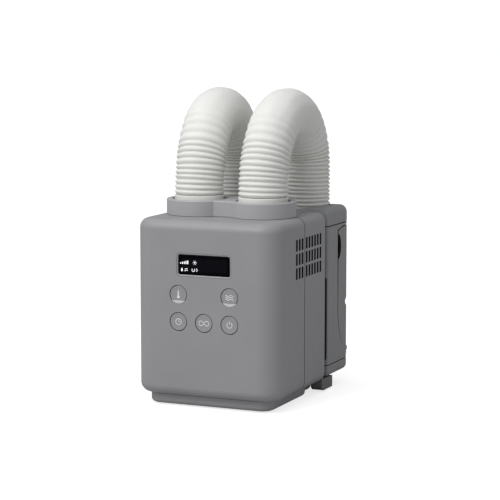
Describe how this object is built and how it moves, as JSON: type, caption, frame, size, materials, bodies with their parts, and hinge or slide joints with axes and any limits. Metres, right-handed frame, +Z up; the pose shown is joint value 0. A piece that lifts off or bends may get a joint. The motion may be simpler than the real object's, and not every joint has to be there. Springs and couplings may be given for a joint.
{
  "type": "bedding dryer",
  "caption": "Upright grey bedding dryer with a small display and round push buttons; corrugated white hoses arch from top collars to flap nozzles stowed behind.",
  "frame": {"origin": "on the floor, below the middle of the whole object's bounding box", "axes": "+Z up; -Y out of the front panel with the display; +X to the right seen from the front"},
  "size_m": [0.175, 0.2286, 0.3534],
  "materials": {
    "body_plastic": "fine-grained satin grey",
    "nozzle_plastic": "fine-grained satin, darker grey",
    "hose_plastic": "soft off-white corrugated duct",
    "display_glass": "glossy black window",
    "bezel_plastic": "light grey rim",
    "lamp_lens": "translucent light grey",
    "black_plastic": "moulded black",
    "circuit_board": "green solder mask",
    "heater_ceramic": "bare ceramic and aluminium fins",
    "steel": "zinc plated",
    "rubber": "matt black"
  },
  "bodies": {
    "body": {"control_board": "circuit_board", "cord_gland": "black_plastic", "display_bezel": "bezel_plastic", "display_module": "black_plastic", "display_window": "display_glass", "fan_housing": "black_plastic", "fan_motor": "steel", "foot_front_left": "rubber", "foot_front_right": "rubber", "foot_rear_left": "rubber", "foot_rear_right": "rubber", "front_shell": "body_plastic", "heater_core": "heater_ceramic", "heater_frame": "black_plastic", "hose_cuff_left": "hose_plastic", "hose_cuff_right": "hose_plastic", "hose_left": "hose_plastic", "hose_right": "hose_plastic", "nozzle_base_left": "nozzle_plastic", "nozzle_base_right": "nozzle_plastic", "nozzle_cap_left": "nozzle_plastic", "nozzle_cap_right": "nozzle_plastic", "nozzle_cradle": "nozzle_plastic", "nozzle_pin_left": "steel", "nozzle_pin_right": "steel", "nozzle_tip_left": "nozzle_plastic", "nozzle_tip_right": "nozzle_plastic", "outlet_collar": "body_plastic", "outlet_duct": "black_plastic", "plinth_front": "body_plastic", "plinth_rear": "body_plastic", "power_board": "circuit_board", "rear_shell": "body_plastic", "screw_base_1": "steel", "screw_base_2": "steel", "screw_base_3": "steel", "screw_base_4": "steel", "screw_cradle_1": "steel", "screw_cradle_2": "steel", "slot_filter_left": "black_plastic", "slot_filter_right": "black_plastic", "switch_auto": "black_plastic", "switch_power": "black_plastic", "switch_temperature": "black_plastic", "switch_timer": "black_plastic", "switch_turbo": "black_plastic", "thermal_fuse": "steel"},
    "temperature_button": {"button_temperature": "body_plastic", "lamp_temperature": "lamp_lens"},
    "turbo_button": {"button_turbo": "body_plastic", "lamp_turbo": "lamp_lens"},
    "timer_button": {"button_timer": "body_plastic"},
    "auto_button": {"button_auto": "body_plastic"},
    "power_button": {"button_power": "body_plastic"},
    "left_flap": {"nozzle_flap_left": "nozzle_plastic"},
    "right_flap": {"nozzle_flap_right": "nozzle_plastic"},
    "fan_rotor": {"impeller": "black_plastic", "motor_shaft": "steel"}
  },
  "joints": [
    {"name": "temperature_press", "type": "slide", "parent": "body", "child": "temperature_button", "axis": [0, 1, 0], "range_m": [0, 0.0012], "stiffness_N_per_m": 600, "springref_m": -0.001},
    {"name": "turbo_press", "type": "slide", "parent": "body", "child": "turbo_button", "axis": [0, 1, 0], "range_m": [0, 0.0012], "stiffness_N_per_m": 600, "springref_m": -0.001},
    {"name": "timer_press", "type": "slide", "parent": "body", "child": "timer_button", "axis": [0, 1, 0], "range_m": [0, 0.0012], "stiffness_N_per_m": 600, "springref_m": -0.001},
    {"name": "auto_press", "type": "slide", "parent": "body", "child": "auto_button", "axis": [0, 1, 0], "range_m": [0, 0.0012], "stiffness_N_per_m": 600, "springref_m": -0.001},
    {"name": "power_press", "type": "slide", "parent": "body", "child": "power_button", "axis": [0, 1, 0], "range_m": [0, 0.0012], "stiffness_N_per_m": 600, "springref_m": -0.001},
    {"name": "left_flap_hinge", "type": "hinge", "parent": "body", "child": "left_flap", "pos_m": [-0.0445, 0.1115, 0.04], "axis": [-1, 0, 0], "range_deg": [0, 40]},
    {"name": "right_flap_hinge", "type": "hinge", "parent": "body", "child": "right_flap", "pos_m": [0.0445, 0.1115, 0.04], "axis": [-1, 0, 0], "range_deg": [0, 40]},
    {"name": "fan_spin", "type": "hinge", "parent": "body", "child": "fan_rotor", "pos_m": [0, -0.0323, 0.092], "axis": [0, 1, 0], "continuous": true}
  ]
}
